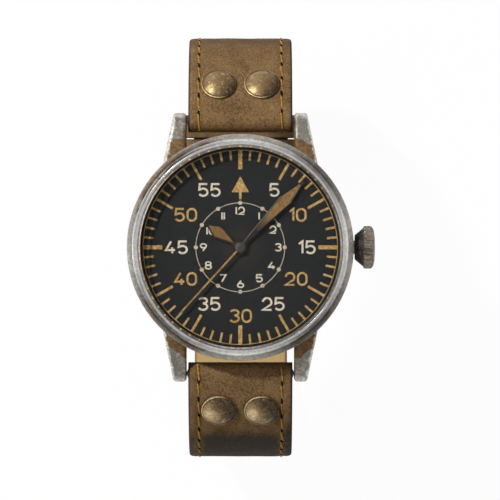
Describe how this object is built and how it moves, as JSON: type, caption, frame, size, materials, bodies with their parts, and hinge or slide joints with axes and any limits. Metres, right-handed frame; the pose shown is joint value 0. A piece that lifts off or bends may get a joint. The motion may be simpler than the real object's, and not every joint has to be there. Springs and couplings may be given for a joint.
{
  "type": "wristwatch",
  "caption": "Pilot watch: round steel case with lugs, fluted crown, black dial under flat crystal, and a riveted leather strap standing as an open loop.",
  "frame": {"origin": "on the case axis, at the underside of the strap's flat run that the watch stands on", "axes": "+Z the way the dial faces, +Y towards 12 o'clock, +X towards 3 o'clock and the crown"},
  "size_m": [0.046, 0.0798, 0.061],
  "materials": {
    "steel": "brushed, worn",
    "bezel_steel": "matte with brown patina, one polished land",
    "crown_metal": "darkened, worn bright on the flutes",
    "crystal_glass": "clear, flat with a bevelled edge",
    "black_trim": "matte black",
    "seal": "soft black",
    "dial_black": "matte black with a faint brown stain",
    "hand_metal": "blackened, worn bright at the edges",
    "seconds_paint": "aged ochre paint, bare at the tip",
    "lume": "aged luminous fill",
    "movement_nickel": "nickel plated",
    "wheel_brass": "gilt",
    "jewel_red": "polished synthetic ruby",
    "screw_steel": "polished",
    "holder": "moulded",
    "strap_leather": "worn brown nubuck with dark edges",
    "lining_tan": "smooth tan lining",
    "lining_brown": "brown lining",
    "keeper_leather": "worn brown nubuck",
    "rivet_bronze": "antique, rubbed bright on the dome",
    "rivet_post_metal": "dull",
    "buckle_steel": "brushed, worn"
  },
  "bodies": {
    "case": {"case_middle": "steel", "bezel": "bezel_steel", "flange_ring": "black_trim", "crystal_gasket": "seal", "crystal": "crystal_glass", "case_back": "steel", "back_gasket": "seal", "dial": "dial_black", "crown_tube": "steel", "spring_bars": "steel", "spring_bar_tips": "steel", "main_plate": "movement_nickel", "train_bridge": "movement_nickel", "barrel_bridge": "movement_nickel", "balance_cock": "movement_nickel", "pallet_bridge": "movement_nickel", "jewels": "jewel_red", "bridge_screws": "screw_steel", "movement_ring": "holder", "hairspring": "steel"},
    "seconds": {"seconds_hand": "seconds_paint", "fourth_wheel": "steel"},
    "minutes": {"minute_hand": "hand_metal", "minute_hand_lume": "lume", "cannon_pinion": "steel", "centre_wheel": "wheel_brass"},
    "hours": {"hour_hand": "hand_metal", "hour_hand_lume": "lume", "hour_wheel": "wheel_brass"},
    "third": {"third_wheel": "wheel_brass"},
    "minute_works": {"minute_wheel": "wheel_brass"},
    "escape": {"escape_wheel": "wheel_brass"},
    "fork": {"pallet_fork": "steel"},
    "balance": {"balance_wheel": "wheel_brass"},
    "barrel": {"mainspring_barrel": "wheel_brass", "mainspring": "steel"},
    "arbor": {"barrel_arbor": "steel", "ratchet_wheel": "steel"},
    "crown_wheel": {"crown_wheel": "steel"},
    "click": {"click": "steel"},
    "winding": {"winding_pinion": "steel", "sliding_pinion": "steel"},
    "crown": {"crown": "crown_metal", "winding_stem": "steel", "crown_gasket": "seal"},
    "strap_long": {"strap_long": "strap_leather", "strap_long_lining": "lining_tan", "rivet_caps_long": "rivet_bronze", "rivet_posts_long": "rivet_post_metal"},
    "strap_short": {"strap_short": "strap_leather", "strap_short_lining": "lining_brown", "rivet_caps_short": "rivet_bronze", "rivet_posts_short": "rivet_post_metal", "keeper_fixed": "keeper_leather", "buckle_bar": "steel"},
    "keeper": {"keeper_free": "keeper_leather"},
    "buckle": {"buckle_frame": "buckle_steel"},
    "tongue": {"buckle_tongue": "buckle_steel"}
  },
  "joints": [
    {"name": "seconds_turn", "type": "hinge", "parent": "case", "child": "seconds", "pos_m": [0, 0, 0.055], "axis": [0, 0, -1], "continuous": true},
    {"name": "minutes_turn", "type": "hinge", "parent": "case", "child": "minutes", "pos_m": [0, 0, 0.055], "axis": [0, 0, -1], "continuous": true},
    {"name": "hours_turn", "type": "hinge", "parent": "case", "child": "hours", "pos_m": [0, 0, 0.055], "axis": [0, 0, -1], "continuous": true},
    {"name": "third_wheel_turn", "type": "hinge", "parent": "case", "child": "third", "pos_m": [-0.00075, -0.00425, 0.055], "axis": [0, 0, -1], "continuous": true},
    {"name": "minute_wheel_turn", "type": "hinge", "parent": "case", "child": "minute_works", "pos_m": [0.0026, 0, 0.055], "axis": [0, 0, -1], "continuous": true},
    {"name": "escape_wheel_turn", "type": "hinge", "parent": "case", "child": "escape", "pos_m": [-0.00372, -0.001, 0.055], "axis": [0, 0, -1], "continuous": true},
    {"name": "barrel_turn", "type": "hinge", "parent": "case", "child": "barrel", "pos_m": [0.00395, 0.00471, 0.055], "axis": [0, 0, -1], "continuous": true},
    {"name": "pallet_fork_rock", "type": "hinge", "parent": "case", "child": "fork", "pos_m": [-0.00529, -0.00299, 0.055], "axis": [0, 0, 1], "range_deg": [-5, 5]},
    {"name": "balance_swing", "type": "hinge", "parent": "case", "child": "balance", "pos_m": [-0.00655, -0.00459, 0.055], "axis": [0, 0, 1], "range_deg": [-150, 150]},
    {"name": "crown_turn", "type": "hinge", "parent": "case", "child": "winding", "pos_m": [0, 0, 0.0545], "axis": [1, 0, 0], "continuous": true},
    {"name": "crown_pull", "type": "slide", "parent": "winding", "child": "crown", "axis": [1, 0, 0], "range_m": [0, 0.0011]},
    {"name": "ratchet_wheel_turn", "type": "hinge", "parent": "case", "child": "arbor", "pos_m": [0.00395, 0.00471, 0.055], "axis": [0, 0, -1], "continuous": true},
    {"name": "crown_wheel_turn", "type": "hinge", "parent": "case", "child": "crown_wheel", "pos_m": [0.00883, 0.00114, 0.055], "axis": [0, 0, -1], "continuous": true},
    {"name": "click_swing", "type": "hinge", "parent": "case", "child": "click", "pos_m": [0.00228, 0.00932, 0.055], "axis": [0, 0, 1], "range_deg": [0, 10]},
    {"name": "strap_long_swing", "type": "hinge", "parent": "case", "child": "strap_long", "pos_m": [0, -0.0235, 0.0523], "axis": [-1, 0, 0], "range_deg": [0, 45]},
    {"name": "strap_short_swing", "type": "hinge", "parent": "case", "child": "strap_short", "pos_m": [0, 0.0235, 0.0523], "axis": [1, 0, 0], "range_deg": [0, 45]},
    {"name": "keeper_slide", "type": "hinge", "parent": "strap_short", "child": "keeper", "pos_m": [0, 0.0219, 0.0255], "axis": [1, 0, 0], "range_deg": [0, 63]},
    {"name": "buckle_swing", "type": "hinge", "parent": "strap_short", "child": "buckle", "pos_m": [0, 0.015, 0.0089], "axis": [-1, 0, 0], "range_deg": [0, 75]},
    {"name": "tongue_swing", "type": "hinge", "parent": "buckle", "child": "tongue", "pos_m": [0, 0.015, 0.0089], "axis": [-1, 0, 0], "range_deg": [-40, 0]}
  ],
  "couplings": [
    {"joint": "minutes_turn", "follows": "seconds_turn", "ratio": 0.016667},
    {"joint": "hours_turn", "follows": "seconds_turn", "ratio": 0.0013889},
    {"joint": "third_wheel_turn", "follows": "seconds_turn", "ratio": -0.13333},
    {"joint": "minute_wheel_turn", "follows": "seconds_turn", "ratio": -0.0055556},
    {"joint": "escape_wheel_turn", "follows": "seconds_turn", "ratio": -10},
    {"joint": "barrel_turn", "follows": "seconds_turn", "ratio": -0.0023148},
    {"joint": "crown_wheel_turn", "follows": "crown_turn", "ratio": -0.46667},
    {"joint": "ratchet_wheel_turn", "follows": "crown_turn", "ratio": 0.29167},
    {"joint": "strap_short_swing", "follows": "strap_long_swing", "ratio": 1},
    {"joint": "tongue_swing", "follows": "buckle_swing", "ratio": -0.5}
  ]
}
